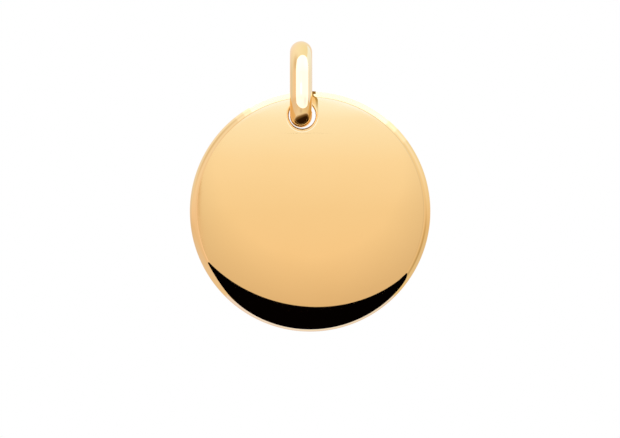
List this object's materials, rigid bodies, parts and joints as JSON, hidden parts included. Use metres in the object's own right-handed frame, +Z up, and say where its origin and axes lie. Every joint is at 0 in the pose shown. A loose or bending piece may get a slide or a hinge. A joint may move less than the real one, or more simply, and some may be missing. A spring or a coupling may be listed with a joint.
{
  "type": "disc pendant",
  "caption": "Plain round polished metal disc with softened edges, hung through a hole near its rim from an oval bail of round wire, on which it swings.",
  "frame": {"origin": "where a chain bears, on the inside of the bail's top bend", "axes": "+Z up, against the pull of the hanging disc; +Y from the front face of the disc to its back; +X to the right, along a chain that runs through the bail"},
  "size_m": [0.0206, 0.0056, 0.0249],
  "materials": {
    "disc_gold": "mirror-polished yellow gold",
    "bail_gold": "mirror-polished yellow gold wire"
  },
  "bodies": {
    "bail": {"bail": "bail_gold"},
    "disc": {"disc": "disc_gold"}
  },
  "joints": [
    {"name": "disc_swing", "type": "hinge", "parent": "bail", "child": "disc", "pos_m": [0, 0, -0.0027], "axis": [1, 0, 0], "range_deg": [-85, 85]}
  ]
}
